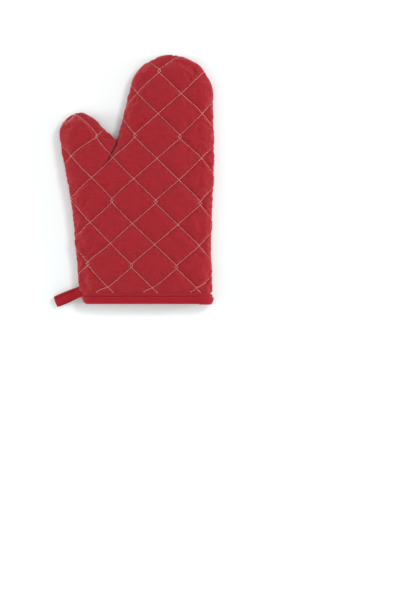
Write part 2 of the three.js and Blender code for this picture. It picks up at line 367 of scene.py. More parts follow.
def settled(points, spread=0.0):
    """How the mitt lies: rounded at the corners of its cuff, flat at the thumb, creased at the crotch.

    spread widens the crease for the coarse layers under the cloth, so that they stay clear of it.
    """
    x, y, z = np.asarray(points, float).T
    from_left, from_right = x + CUFF_HALF, CUFF_HALF - x
    corners = corner_lift(from_left, CORNER_LEFT) + corner_lift(from_right, CORNER_RIGHT)
    tuck = TUCK * (1 - ramp(from_left, 0, TUCK_REACH)) * (1 - ramp(y, *TUCK_TOP))
    swell = SWELL * bell(y - SWELL_AT[0], SWELL_AT[1]) * (1 - ramp(from_left, 0, SWELL_WIDTH))
    move = moves_at(x, y, OUTLINE_MOVES)
    across = tuck - swell + move[:, 0]
    up = corners * (1 - ramp(y, 0, CORNER_TOP)) + move[:, 1]
    return creased(np.column_stack([x + across, y + up, z]), spread)


def along_crease(points):
    """Distance in plan from the crease at the crotch, and how far down it: 0 at the crotch, 1 at its end."""
    line = spline(CREASE, 6)
    distance = to_segments(points[:, :2], line[:-1], line[1:])
    span = (CREASE[0][1] - points[:, 1]) / (CREASE[0][1] - CREASE[-1][1])
    return distance, np.clip(span, 0, 1)


def creased(points, spread):
    """The front falls towards the seam in the crease at the crotch, and its two sides close over it."""
    line = spline(CREASE, 6)
    near = (points[:, 1] > CREASE[-1][1] - 0.02) & (points[:, 1] < CREASE[0][1] + 0.01)
    near &= (np.abs(points[:, 0] - CREASE[1][0]) < 0.03) & (points[:, 2] > 0)
    chosen = points[near]
    if not len(chosen):
        return points
    gap = chosen[:, None, :2] - line[None]
    nearest = (gap**2).sum(2).argmin(1)
    away = gap[np.arange(len(chosen)), nearest]
    tangent = unit(np.gradient(line, axis=0))[nearest]
    across = np.column_stack([-tangent[:, 1], tangent[:, 0]])
    side = np.sign((away * across).sum(1))
    distance, span = along_crease(chosen)
    close = CREASE_PINCH * (1 - bell(distance, PINCH_NEAR)) * bell(distance, PINCH_FAR)
    close *= ramp(span, 0, 0.05) * (1 - span)
    narrow = bell(np.maximum(distance - spread, 0), CREASE_NARROW * (1 + span))
    fall = CREASE_FALL * narrow * (1 - smooth(span))
    if spread:
        fall = 1 - (1 - fall) ** 2
    points = points.copy()
    points[near, :2] -= across * (side * close)[:, None]
    points[near, 2] *= 1 - fall
    return points


def linked(name, data):
    obj = bpy.data.objects.new(name, data)
    bpy.context.scene.collection.objects.link(obj)
    return obj


def make_object(name, points, faces, material, flat=None):
    """A smooth mesh object. flat is each point's place on the uncut cloth, for the weave."""
    mesh = bpy.data.meshes.new(name)
    mesh.from_pydata((np.asarray(points) + PLACE).tolist(), [], faces)
    mesh.validate()
    mesh.polygons.foreach_set("use_smooth", np.ones(len(mesh.polygons), bool))
    if flat is not None:
        attribute = mesh.attributes.new("flat_cloth", "FLOAT_VECTOR", "POINT")
        attribute.data.foreach_set("vector", np.asarray(flat, np.float32).ravel())
    mesh.materials.append(material)
    return linked(name, mesh)


# ---- the pattern


def on_circle(centre, radius, degrees):
    turn = math.radians(degrees)
    return np.array(centre) + radius * np.array([math.cos(turn), math.sin(turn)])


def sample_arc(centre, radius, start, stop, spacing, hollow=False):
    """Points on an arc and their outward normals. A hollow arc has the mitt on its outside."""
    length = abs(math.radians(stop - start)) * (radius + (1.5 * ROLL if hollow else 0))
    count = max(2, math.ceil(length / spacing))
    angles = np.radians(np.linspace(start, stop, count, endpoint=False))
    ring = np.stack([np.cos(angles), np.sin(angles)], 1)
    return np.array(centre) + radius * ring, -ring if hollow else ring


def sample_curve(control, spacing):
    """A straight line from two points, or a cubic curve from four, with its right-hand normals."""
    control = np.array(control, float)
    if len(control) == 2:
        a, b = control
        control = np.array([a, a + (b - a) / 3, b - (b - a) / 3, b])
    length = np.linalg.norm(np.diff(control, axis=0), axis=1).sum()
    t = np.linspace(0, 1, max(2, math.ceil(length / spacing)), endpoint=False)[:, None]
    a, b, c, d = control
    points = (1 - t) ** 3 * a + 3 * (1 - t) ** 2 * t * b + 3 * (1 - t) * t**2 * c + t**3 * d
    slope = (1 - t) ** 2 * (b - a) + 2 * (1 - t) * t * (c - b) + t**2 * (d - c)
    tangent = unit(slope)
    return points, np.stack([tangent[:, 1], -tangent[:, 0]], 1)


def sample_crotch(side, shoulder, spacing):
    """The straight sides of the fingers and of the thumb and the round between them."""
    crotch = np.array(CROTCH)
    down = unit(crotch - side)
    up = unit(shoulder - crotch)
    turn = math.acos(float(np.clip(down @ up, -1, 1)))
    reach = CROTCH_RADIUS * math.tan(turn / 2)
    from_finger = crotch - down * reach
    to_thumb = crotch + up * reach
    centre = from_finger + CROTCH_RADIUS * np.array([down[1], -down[0]])
    first = math.degrees(math.atan2(*(from_finger - centre)[::-1]))
    last = first - math.degrees(turn)
    return [
        sample_curve([side, from_finger], spacing),
        sample_arc(centre, CROTCH_RADIUS, first, last, spacing, hollow=True),
        sample_curve([to_thumb, shoulder], spacing),
    ]


def sample_outline(spacing):
    """The side seam, from the right end of the cuff round to the left end: points and outward normals."""
    cuff_right, cuff_left = (CUFF_HALF, 0.0), (-CUFF_HALF, 0.0)
    waist = (CUFF_HALF, WAIST_TOP)
    finger_right = (FINGER_TIP[0] + FINGER_RADIUS, FINGER_TIP[1])
    thumb_left = (THUMB_TIP[0] - THUMB_RADIUS, THUMB_TIP[1])
    right_bend = [(CUFF_HALF - WAIST_BOW, RIGHT_CONTROL[0]), (CUFF_HALF, RIGHT_CONTROL[1])]
    left_bend = [(thumb_left[0], LEFT_CONTROL[0]), (HIP, LEFT_CONTROL[1])]
    side = on_circle(FINGER_TIP, FINGER_RADIUS, FINGER_SIDE)
    shoulder = on_circle(THUMB_TIP, THUMB_RADIUS, THUMB_SHOULDER)
    parts = [
        sample_curve([cuff_right, *right_bend, waist], spacing),
        sample_curve([waist, finger_right], spacing),
        sample_arc(FINGER_TIP, FINGER_RADIUS, 0, FINGER_SIDE, spacing),
        *sample_crotch(side, shoulder, spacing),
        sample_arc(THUMB_TIP, THUMB_RADIUS, THUMB_SHOULDER, 180, spacing),
        sample_curve([thumb_left, *left_bend, cuff_left], spacing),
        (np.array([cuff_left]), np.array([[-1.0, 0.0]])),
    ]
    points = np.concatenate([p for p, _ in parts])
    normals = np.concatenate([n for _, n in parts])
    for _ in range(3):  # ease the normals where two stretches meet
        normals[1:-1] = unit(normals[:-2] + 2 * normals[1:-1] + normals[2:])
    keep = points[:, 1] >= PANEL_START
    return points[keep], normals[keep]


def inside_distance(points, outline):
    """Each point's distance in from the seam, with the seam point and its normal nearest to it."""
    edge, outward = outline
    distances, chosen = [], []
    for first in range(0, len(points), 4000):
        gap = points[first : first + 4000, None, :] - edge[None]
        near = (gap**2).sum(2).argmin(1)
        chosen.append(near)
        distances.append(-(gap[np.arange(len(near)), near] * outward[near]).sum(1))
    chosen = np.concatenate(chosen)
    return np.concatenate(distances), edge[chosen], outward[chosen]


def cuff_side(sign):
    """The seam beside the cuff, from below: sign is 1 for the right side and -1 for the left."""
    edge = OUTLINE[0]
    beside = edge[(edge[:, 1] < SIDES_TOP) & (edge[:, 0] * sign > 0)]
    return beside[np.argsort(beside[:, 1])]


OUTLINE = sample_outline(FINE)
CUFF_SIDES = {sign: cuff_side(sign) for sign in (1, -1)}

# ---- the rolled form of a panel


class Form:
    """Where the outer surface of one panel lies before it is quilted.

    sign is 1 for the front panel and -1 for the back one. The cloth is cut wider than the finished
    mitt, because it rolls down to the seam: spare is how much wider, all round. Places on it are
    told by their arc, the length of cloth in from the seam.
    """

    def __init__(self, sign):
        self.sign = sign
        self.rise = FRONT_RISE if sign > 0 else BACK_DROP
        self.crown = CROWN if sign > 0 else 0.0
        angle = np.linspace(0, math.pi / 2, 200)
        plan, height = ROLL * (1 - np.cos(angle)), self.rise * np.sin(angle)
        steps = np.hypot(np.diff(plan), np.diff(height))
        self.angles = angle
        self.arcs = np.concatenate([[0], np.cumsum(steps)])
        self.spare = self.arcs[-1] - ROLL

    def top(self, inside):
        """Height of the level part, at a distance in from the seam."""
        return self.sign * (self.rise + self.crown * smooth(inside / CROWN_REACH))

    def up(self, count):
        """The normals of the level part."""
        return np.tile([0.0, 0.0, float(self.sign)], (count, 1))

    def place(self, edge, outward, arc):
        """Points and normals from a place on the seam, its outward normal and the arc in from it."""
        rolled = arc < self.arcs[-1]
        angle = np.interp(arc, self.arcs, self.angles)
        plan = np.where(rolled, ROLL * (1 - np.cos(angle)), arc - self.spare)
        height = self.rise * np.sin(angle) + self.crown * smooth(plan / CROWN_REACH)
        points = np.column_stack([edge - outward * plan[:, None], self.sign * height])
        across = np.cos(angle) / ROLL
        normals = np.column_stack(
            [outward * across[:, None], self.sign * np.sin(angle) / self.rise]
        )
        return points, unit(normals)


FORMS = {1: Form(1), -1: Form(-1)}

# ---- the quilting threads


def quilt_threads():
    """Each quilting thread as a zigzag on the flat cloth: it turns back after every third half diamond."""
    step_x, step_y = QUILT_STEP
    swing = QUILT_RUN / 2 * step_x + QUILT_OVERSHOOT
    cos, sin = math.cos(QUILT_TURN), math.sin(QUILT_TURN)
    threads = []
    for needle in QUILT_NEEDLES:
        for lead in (1, -1):
            middle = 2 * step_x * needle - lead * QUILT_RUN / 2 * step_x
            corners = []
            for row in QUILT_ROWS:
                x = middle + lead * swing * (1 if row % 2 == 0 else -1)
                y = QUILT_RUN * step_y * row
                corners.append(
                    (QUILT_ORIGIN[0] + cos * x - sin * y, QUILT_ORIGIN[1] + sin * x + cos * y)
                )
            threads.append(drawn_in(subdivided(np.array(corners), 12)))
    return threads


def subdivided(corners, parts):
    share = np.arange(parts)[:, None] / parts
    runs = [a + (b - a) * share for a, b in zip(corners, corners[1:])]
    return np.concatenate(runs + [corners[-1:]])


def drawn_in(points):
    """The lines of the quilting as they lie once the seams and the binding have pulled at them."""
    x, y = points[:, 0], points[:, 1]
    side = ramp(-x, 0.025, 0.030) * ramp(y, 0.020, 0.090)
    low = 1 - ramp(y, 0.030, 0.060)
    left = ramp(-x, 0.045, 0.020)
    right = ramp(x, 0.040, 0.020) * ramp(y, 0.120, 0.030)
    dragged = 1 - ramp(y, 0.0120, 0.007)
    across = THUMB_SIDE_MOVE * side + DRAG[0] * dragged
    up = (CUFF_LIFT + CUFF_LIFT_LEFT * left) * low + RIGHT_LIFT * right + DRAG[1] * dragged
    return points + moves_at(x, y, QUILT_MOVES) + np.column_stack([across, up])


THREADS = quilt_threads()
THREAD_STARTS = np.concatenate([t[:-1] for t in THREADS])
THREAD_STOPS = np.concatenate([t[1:] for t in THREADS])


def walk(corners, pitch):
    """Points and directions every pitch along a line of straight runs."""
    runs = np.diff(corners, axis=0)
    lengths = np.linalg.norm(runs, axis=1)
    ends = np.concatenate([[0], np.cumsum(lengths)])
    along = np.arange(pitch / 2, ends[-1], pitch)
    which = np.clip(np.searchsorted(ends, along) - 1, 0, len(runs) - 1)
    share = (along - ends[which]) / lengths[which]
    return corners[which] + runs[which] * share[:, None], runs[which] / lengths[which, None]


# ---- a panel's mesh


class Sheet:
    """The surface of one panel: rings of quads down the rolled edge and triangles over the middle."""

    def __init__(self, form, spacing):
        self.form = form
        edge, outward = sample_outline(spacing)
        count, rings = len(edge), math.ceil(form.arcs[-1] / spacing)
        points, normals, flat, arcs = [], [], [], []
        for arc in np.linspace(0, form.arcs[-1], rings + 1):
            p, n = form.place(edge, outward, np.full(count, arc))
            points.append(p)
            normals.append(n)
            flat.append(edge - outward * (arc - form.spare))
            arcs.append(np.full(count, arc))
        middle, triangles = self.fill(flat[-1], spacing, rings * count)
        distance, _, _ = inside_distance(middle, (edge, outward))
        points.append(np.column_stack([middle, form.top(distance)]))
        normals.append(form.up(len(middle)))
        flat.append(middle)
        arcs.append(distance + form.spare)
        self.points = np.concatenate(points)
        self.normals = np.concatenate(normals)
        self.flat = np.concatenate(flat)
        self.arc = np.concatenate(arcs)
        faces = []
        for first in range(0, rings * count, count):
            for a in range(first, first + count - 1):
                faces.append((a, a + 1, a + 1 + count, a + count))
        self.faces = faces + triangles
        if form.sign < 0:
            self.faces = [face[::-1] for face in self.faces]
        self.off_line = to_segments(self.flat, THREAD_STARTS, THREAD_STOPS)

    def fill(self, ring, spacing, first):
        """Triangles inside the innermost ring. first is the number of its first point."""
        low, high = ring.min(0), ring.max(0)
        rows = np.arange(low[1], high[1], spacing * math.sqrt(3) / 2)
        grid = []
        for number, y in enumerate(rows):
            x = np.arange(low[0] + (number % 2) * spacing / 2, high[0], spacing)
            grid.append(np.column_stack([x, np.full(len(x), y)]))
        grid = np.concatenate(grid)
        on_threads = np.concatenate([walk(t, spacing)[0] for t in THREADS])
        clear = to_segments(grid, THREAD_STARTS, THREAD_STOPS) > 0.55 * spacing
        grid = np.concatenate([grid[clear], on_threads])
        closed = np.concatenate([ring, ring[:1]])
        away = to_segments(grid, closed[:-1], closed[1:]) > 0.6 * spacing
        grid = grid[away & inside_polygon(grid, ring)]
        every = np.concatenate([ring, grid])
        boundary = list(range(len(ring)))
        edges = [(i, (i + 1) % len(ring)) for i in boundary]
        found = delaunay_2d_cdt([Vector(p) for p in every.tolist()], edges, [boundary], 1, 1e-7)
        triangles = []
        for face in found[2]:
            order = [found[3][v][0] for v in face]
            a, b, c = every[order]
            turn = (b[0] - a[0]) * (c[1] - a[1]) - (b[1] - a[1]) * (c[0] - a[0])
            order = [first + v for v in order]
            triangles.append(tuple(order if turn > 0 else order[::-1]))
        return grid, triangles


def inside_polygon(points, polygon):
    x, y = points[:, 0], points[:, 1]
    result = np.zeros(len(points), bool)
    previous = polygon[-1]
    for corner in polygon:
        crosses = (corner[1] > y) != (previous[1] > y)
        with np.errstate(divide="ignore", invalid="ignore"):
            at = (previous[0] - corner[0]) * (y - corner[1]) / (previous[1] - corner[1]) + corner[0]
        result ^= crosses & (x < at)
        previous = corner
    return result


# ---- how deep each layer lies


def fixed_depth(sheet, spread):
    """What the seam and the crease pull in and the rolled edge fills out, whatever the puffs do."""
    groove = SEAM_GROOVE[0] * bell(sheet.arc, SEAM_GROOVE[1])
    full = FULLNESS * bell(sheet.arc - FULLNESS_AT[0], FULLNESS_AT[1])
    full *= 1 - LEAN_FINGERS * ramp(sheet.points[:, 1], *LEAN_FROM)
    distance, span = along_crease(sheet.points)
    distance = np.maximum(distance - spread, 0)
    fold = CREASE_DEPTH * bell(distance, CREASE_WIDTH * (0.6 + 1.3 * span)) * (1 - span)
    fold *= smooth(span / CREASE_START)
    if sheet.form.sign < 0:
        fold = CREASE_BEHIND * fold
    return groove - full + fold


def channel_depth(arc):
    """How deep the stitches pull the cloth in: less near the seam, where the edge is rolled tight."""
    return CHANNEL * (CHANNEL_AT_SEAM + (1 - CHANNEL_AT_SEAM) * smooth(arc / CHANNEL_EDGE))


def simulate(sheet):
    """Inflates the cloth between its stitches with Blender's cloth and returns its depth."""
    start = channel_depth(sheet.arc) * np.exp(-sheet.off_line / START_WIDTH)
    start += START_DEPTH * smooth(sheet.arc / START_REACH)
    points = sheet.points - sheet.normals * start[:, None]
    mesh = bpy.data.meshes.new("puff")
    mesh.from_pydata((points + PLACE).tolist(), [], sheet.faces)
    obj = linked("puff", mesh)
    held = (sheet.off_line < 0.45 * COARSE) | (sheet.arc < 0.5 * COARSE)
    held |= sheet.flat[:, 1] < BINDING_TOP + 0.001
    pins = obj.vertex_groups.new(name="pins")
    pins.add(np.nonzero(held)[0].tolist(), 1.0, "REPLACE")
    cloth = obj.modifiers.new("cloth", "CLOTH")
    settings = cloth.settings
    settings.vertex_group_mass = "pins"
    settings.quality = 4
    settings.mass = 0.15
    settings.tension_stiffness = 12
    settings.compression_stiffness = 12
    settings.shear_stiffness = 4
    settings.bending_stiffness = 0.2
    settings.shrink_min = -0.045
    settings.use_pressure = True
    settings.uniform_pressure_force = 4.0
    settings.effector_weights.gravity = 0.0
    scene = bpy.context.scene
    cloth.point_cache.frame_start = 1
    cloth.point_cache.frame_end = LAST_FRAME
    for number in range(1, LAST_FRAME + 1):
        scene.frame_set(number)
    evaluated = obj.evaluated_get(bpy.context.evaluated_depsgraph_get())
    found = np.empty(3 * len(points))
    evaluated.data.vertices.foreach_get("co", found)
    moved = found.reshape(-1, 3) - PLACE
    scene.frame_set(1)
    bpy.data.objects.remove(obj)
    depth = ((sheet.points - moved) * sheet.normals).sum(1)
    return np.clip(depth, *PUFF_LIMITS)


def carried_over(source, values, points):
    """Values on a sheet's own points, read at other points of its unquilted surface."""
    tree = BVHTree.FromPolygons(source.points.tolist(), source.faces)
    corners = [np.array(face) for face in source.faces]
    result = np.empty(len(points))
    for number, point in enumerate(points.tolist()):
        spot, _, face, _ = tree.find_nearest(point)
        around = corners[face]
        gap = np.linalg.norm(source.points[around] - np.array(spot), axis=1)
        weight = 1 / np.maximum(gap, 1e-6) ** 2
        result[number] = (values[around] * weight).sum() / weight.sum()
    return result


def under_tape(depth, sheet, reach, bound):
    """The depth, except that near the binding it goes over to the depth inside the binding."""
    cuff = 1 - ramp(sheet.flat[:, 1], BINDING_TOP, reach)
    return depth * (1 - cuff) + bound * cuff


def outer_depth(sheet, puffs, spread=0.0):
    """Depth of the shell cloth's outer face: the puffs, the channels, fine puckers and the cuff.

    spread widens the channels, so that a coarse mesh under the cloth stays clear of it.
    """
    channel = bell(np.maximum(sheet.off_line - spread, 0), CHANNEL_WIDTH)
    depth = puffs * (1 - channel) + channel_depth(sheet.arc) * channel
    pucker = noise_at(sheet.points, PUCKER[1], 3.0 * sheet.form.sign)
    depth += PUCKER[0] * pucker * np.exp(-sheet.off_line / PUCKER_REACH)
    depth += DENT[0] * noise_at(sheet.points, DENT[1], 9.0 + sheet.form.sign)
    depth += fixed_depth(sheet, spread)
    depth = under_tape(depth, sheet, 0.005, BOUND["shell"])
    beside_tape = np.abs(sheet.flat[:, 1] - BINDING_TOP - TAPE_GROOVE_AT[0])
    depth += TAPE_GROOVE * bell(np.maximum(beside_tape - spread, 0), TAPE_GROOVE_AT[1])
    if sheet.form.sign < 0:  # the table presses the underside flat
        lowest = sheet.form.rise - TABLE_GAP
        height = -(sheet.points[:, 2] - sheet.normals[:, 2] * depth)
        depth += np.maximum(height - lowest, 0)
    return depth


def lining_depth(sheet):
    """Depth of the lining's outer face."""
    puff = 1 - np.exp(-sheet.off_line / LINING_PUFF)
    depth = STITCHED_DEPTH + (LINING_DEPTH - STITCHED_DEPTH) * puff
    return under_tape(depth, sheet, 0.008, BOUND["lining"])


def seam_gap(sheet):
    """The two panels stand a little apart at the seam, and further where the tape comes out."""
    at_loop = np.exp(-(((sheet.points[:, 1] - hinge[1] - 0.001) / 0.0062) ** 4))
    width = SEAM_SLACK + LOOP_SLACK * at_loop * (sheet.points[:, 0] < 0)
    lift = width * bell(sheet.arc, SLACK_REACH)
    return np.column_stack([np.zeros((len(lift), 2)), sheet.form.sign * lift])


def layer(name, sheet, outer, inner, material, spread=0.0):
    """One closed layer of cloth or wadding, between two depths."""
    gap = seam_gap(sheet)
    top = sheet.points - sheet.normals * outer[:, None] + gap
    bottom = sheet.points - sheet.normals * inner[:, None] + gap
    count = len(sheet.points)
    faces = list(sheet.faces)
    faces += [tuple(v + count for v in face[::-1]) for face in sheet.faces]
    used = {}
    for face in sheet.faces:
        for a, b in zip(face, face[1:] + face[:1]):
            used[(a, b)] = used.get((a, b), 0) + 1
    for a, b in used:
        if (b, a) not in used:
            faces.append((b, a, a + count, b + count))
    flat = np.column_stack([sheet.flat, np.zeros(count)])
    points = settled(np.concatenate([top, bottom]), spread)
    return make_object(name, points, faces, material, np.concatenate([flat, flat]))


# ---- stitches


def tube_faces(rings, size, base=0):
    """A tube of quads with closed ends, through rings of size points each. base numbers the first."""
    faces = []
    for first in range(base, base + (rings - 1) * size, size):
        for k in range(size):
            a, b = first + k, first + (k + 1) % size
            faces.append((a, b, b + size, a + size))
    last = base + (rings - 1) * size
    faces.append(tuple(range(base, base + size))[::-1])
    faces.append(tuple(range(last, last + size)))
    return faces


def stitch_mesh(name, places, along, up, sizes, material):
    """One object of many short stitches. sizes are each stitch's length, width and height."""
    turn = np.arange(STITCH_SIDES) * 2 * math.pi / STITCH_SIDES
    points, faces = [], []
    side = unit(np.cross(up, along))
    for number in range(len(places)):
        length, width, height = sizes[number]
        for shift, swell in STITCH_RINGS:
            arch = 1 - (2 * shift) ** 2
            middle = places[number] + along[number] * shift * length + up[number] * arch * height * 0.5
            beside = np.outer(np.cos(turn) * swell * width / 2, side[number])
            above = np.outer(np.sin(turn) * swell * height / 2, up[number])
            points.append(middle + beside + above)
        rings = len(STITCH_RINGS)
        faces += tube_faces(rings, STITCH_SIDES, number * rings * STITCH_SIDES)
    return make_object(name, np.concatenate(points), faces, material)


def thread_on(form, corners):
    """Where one quilting thread is stitched into a panel: the places, directions and normals."""
    spots, heading = walk(corners, STITCH_PITCH)
    inside, edge, outward = inside_distance(spots, OUTLINE)
    arc = inside + form.spare
    keep = (arc > 0.0012) & (spots[:, 1] > BINDING_TOP + 0.0012)
    keep &= np.linalg.norm(spots - edge, axis=1) < np.abs(inside) + 0.0005
    spots, heading, edge, outward, arc, inside = (
        v[keep] for v in (spots, heading, edge, outward, arc, inside)
    )
    rolled = (arc < form.arcs[-1])[:, None]
    surface, normal = form.place(edge, outward, arc)
    cross = np.column_stack([-outward[:, 1], outward[:, 0]])
    run_in = (heading * -outward).sum(1)
    run_on = (heading * cross).sum(1)
    climb = form.sign * np.linalg.norm(normal[:, :2], axis=1)
    slope = np.column_stack([-outward * normal[:, 2:3] * form.sign, climb])
    level = np.column_stack([cross, np.zeros(len(cross))])
    rolled_way = slope * run_in[:, None] + level * run_on[:, None]
    flat_way = np.column_stack([heading, np.zeros(len(heading))])
    top = np.column_stack([spots, form.top(inside)])
    return (
        np.where(rolled, surface, top),
        unit(np.where(rolled, rolled_way, flat_way)),
        np.where(rolled, normal, form.up(len(spots))),
    )


def quilting_stitches(name, sheet, depths, material):
    """The quilting threads on one panel. depths are those of the cloth they lie on."""
    threads = zip(*[thread_on(sheet.form, corners) for corners in THREADS])
    places, ways, ups = (np.concatenate(part) for part in threads)
    places = places - ups * (carried_over(sheet, depths, places) - 0.0001)[:, None]
    sizes = [
        (STITCH_PITCH * rng.uniform(0.68, 0.82), THREAD * rng.uniform(0.9, 1.1), THREAD)
        for _ in range(len(places))
    ]
    return stitch_mesh(name, settled(places), ways, ups, sizes, material)


def run_along(line):
    """How far along a line each of its points lies."""
    return np.concatenate([[0], np.cumsum(np.linalg.norm(np.diff(line, axis=0), axis=1))])


def at_runs(where, run, values):
    """Values that are given along a line, read at other distances along it."""
    return np.column_stack([np.interp(where, run, column) for column in values.T])


# ---- the cuff binding


def mouth_path(spacing):
    """Round the cuff: for each step which side it is beside, its kind, its panel and how far along."""
    steps = []
    for sign in (1, -1):
        form = FORMS[sign]
        arcs = np.linspace(0, form.arcs[-1], math.ceil(form.arcs[-1] / spacing) + 1)
        rolled = [("roll", sign, arc) for arc in arcs[:-1]]
        across = math.ceil(2 * (CUFF_HALF - ROLL) / spacing)
        level = [("level", sign, share) for share in np.linspace(0, 1, across + 1)]
        half = [(-1, *step) for step in rolled] + [(0, *step) for step in level]
        half += [(1, *step) for step in rolled[::-1]]
        steps += half if sign > 0 else half[::-1]
    joined = [steps[0]]
    for step in steps[1:]:  # the two panels share the points on the seam
        if not (on_seam(step) and on_seam(joined[-1])):
            joined.append(step)
    if on_seam(joined[-1]):
        joined.pop()
    return joined


def on_seam(step):
    return step[1] == "roll" and step[3] == 0


def mouth_surface(step, y):
    """The unquilted outer surface and its normal, at a step round the cuff and heights y up it."""
    beside, kind, sign, value = step
    form = FORMS[sign]
    right, left = (np.interp(y, CUFF_SIDES[s][:, 1], CUFF_SIDES[s][:, 0]) for s in (1, -1))
    if kind == "roll":
        edge = np.column_stack([left if beside < 0 else right, y])
        outward = np.tile([float(beside), 0.0], (len(y), 1))
        return form.place(edge, outward, np.full(len(y), value))
    x = (left + ROLL) * (1 - value) + (right - ROLL) * value
    inside = np.minimum(x - left, right - x)
    return np.column_stack([x, y, form.top(inside)]), form.up(len(y))


def binding_wave(angle, seed):
    """A gentle unevenness round the cuff."""
    wide = math.sin(5 * angle + seed)
    middling = 0.6 * math.sin(11 * angle + 2.1 * seed)
    return (wide + middling + 0.4 * math.sin(23 * angle)) / 2


def cuff_binding(material):
    """The tape round the cuff, as one closed band that the stitches draw in."""
    path = mouth_path(FINE)
    section = spline(BINDING_SECTION, 3, closed=True)
    points, flat = [], []
    run = 0.0
    previous = None
    for number, step in enumerate(path):
        angle = 2 * math.pi * number / len(path)
        y, depth = section[:, 0].copy(), section[:, 1].copy()
        outer = 1 - ramp(depth, 0.002, 0.002)
        y += EDGE_WAVE * binding_wave(angle, 1.0) * smooth(y / FOLD_HEIGHT)
        pull = 0.5 + 0.5 * math.cos(2 * math.pi * run / STITCH_PITCH)
        at_stitch = bell(section[:, 0] - BINDING_STITCH_Y, 0.0012)
        depth += outer * (STITCH_PULL * pull * at_stitch - FACE_WAVE * binding_wave(angle, 4.0))
        surface, normal = mouth_surface(step, y)
        if step[2] > 0:  # the end of the tape laps over its beginning near the right side
            lap = ramp(surface[:, 0], LAP_START, LAP_LENGTH)
            depth -= LAP_HEIGHT * lap * outer
            surface[:, 1] -= LAP_STEP * lap * (1 - smooth(y / FOLD_HEIGHT))
        ring = surface - normal * depth[:, None]
        points.append(ring)
        if previous is not None:
            run += float(np.linalg.norm(ring[RUN_POINT] - previous))
        previous = ring[RUN_POINT]
        flat.append(np.column_stack([np.full(len(y), run), y + depth, np.zeros(len(y))]))
    size = len(section)
    faces = []
    for i in range(len(path)):
        after = (i + 1) % len(path)
        for k in range(size):
            then = (k + 1) % size
            faces.append((i * size + k, after * size + k, after * size + then, i * size + then))
    points = settled(np.concatenate(points))
    return make_object("cuff_binding_tape", points, faces, material, np.concatenate(flat))


def binding_stitches(material):
    """A row of edge stitches all round the cuff, on the outside of the binding."""
    y = np.array([BINDING_STITCH_Y])
    surfaces = [mouth_surface(step, y) for step in mouth_path(FINE)]
    surfaces.append(surfaces[0])
    line = np.array([s[0] - n[0] * BINDING_STITCH_DEPTH for s, n in surfaces])
    normals = np.array([n[0] for _, n in surfaces])
    run = run_along(line)
    count = round(run[-1] / STITCH_PITCH)
    where = (np.arange(count) + 0.5) * run[-1] / count
    places = at_runs(where, run, line)
    ups = unit(at_runs(where, run, normals))
    ways = unit(at_runs((where + 0.0003) % run[-1], run, line) - places)
    sizes = [EDGE_STITCH] * count
    return stitch_mesh("binding_edge_stitches", settled(places), ways, ups, sizes, material)


# ---- the side seam


def seam_stitches(material):
    """Short stitches that draw the two panels together along the side seam."""
    edge, outward = sample_outline(STITCH_PITCH)
    by_loop = (edge[:, 0] < 0) & (edge[:, 1] < hinge[1] + 0.010)
    keep = (edge[:, 1] > BINDING_TOP + 0.002) & ~by_loop
    edge, outward = edge[keep], outward[keep]
    count = len(edge)
    lean = SEAM_STITCH_LEAN * np.column_stack([-outward[:, 1], outward[:, 0]])
    places = np.column_stack([edge - outward * SEAM_STITCH_DEPTH, np.zeros(count)])
    ways = unit(np.column_stack([lean, np.ones(count)]))
    ups = np.column_stack([outward, np.zeros(count)])
    return stitch_mesh("side_seam_stitches", places, ways, ups, [SEAM_STITCH] * count, material)


# ---- the hanging loop


def loop_line():
    """The tape seen from its edge: out along the upper leg, round the fold and back, as (out, height)."""
    radius = TAPE / 2 + LOOP_GAP / 2
    straight = LOOP_LENGTH - radius - TAPE / 2
    out = np.linspace(-LOOP_BURIED, straight, LOOP_POINTS)
    belly = np.sin(np.clip(out / straight, 0, 1) * math.pi)
    height = TAPE / 2 + 0.0001 + (LOOP_GAP / 2 - 0.0001) * smooth(out / straight)
    height += UPPER_BELLY * belly
    turn = np.linspace(math.pi / 2, -math.pi / 2, LOOP_FOLD_POINTS)[1:-1]
    upper = np.column_stack([out, height])
    fold = np.column_stack([straight + radius * np.cos(turn), radius * np.sin(turn)])
    lower = np.column_stack([out, -height + LOWER_LESS * belly])
    return np.concatenate([upper, fold, lower[::-1]])


def to_loop(out, height, across):
    """From the loop's own directions to the plan: out from the seam, up and across the tape."""
    droop = math.cos(LOOP_DROOP), math.sin(LOOP_DROOP)
    swing = math.cos(LOOP_SWING), math.sin(LOOP_SWING)
    x = -out * swing[0] - across * swing[1]
    y = -out * swing[1] + across * swing[0]
    drooped = [x * droop[0] - height * droop[1], y, height * droop[0] + x * droop[1]]
    return np.column_stack(drooped) + hinge


def loop_frame(line):
    """For each point of the loop's line: how far along it lies and its outward direction."""
    ahead = unit(np.gradient(line, axis=0))
    return run_along(line), np.column_stack([-ahead[:, 1], ahead[:, 0]])


def hanging_loop(material):
    """The free part of the folded tape and the start of both its ends inside the seam."""
    line = loop_line()
    run, facing = loop_frame(line)
    section = spline(TAPE_SECTION, 3, closed=True)
    points, flat = [], []
    for spot, outward, along in zip(line, facing, run):
        across = section[:, 0] * TAPE_WIDTH / 2 + WAVER[0] * math.sin(along / WAVER[1])
        bow = BOW * (1 - section[:, 0] ** 2) * smooth(spot[0] / BOW_START)
        lift = section[:, 1] * TAPE / 2 + bow
        points.append(to_loop(spot[0] + outward[0] * lift, spot[1] + outward[1] * lift, across))
        flat.append(np.column_stack([np.full(len(across), along), across, np.zeros(len(across))]))
    faces = tube_faces(len(line), len(section))
    points, flat = np.concatenate(points), np.concatenate(flat)
    return make_object("hanging_loop_tape", points, faces, material, flat)


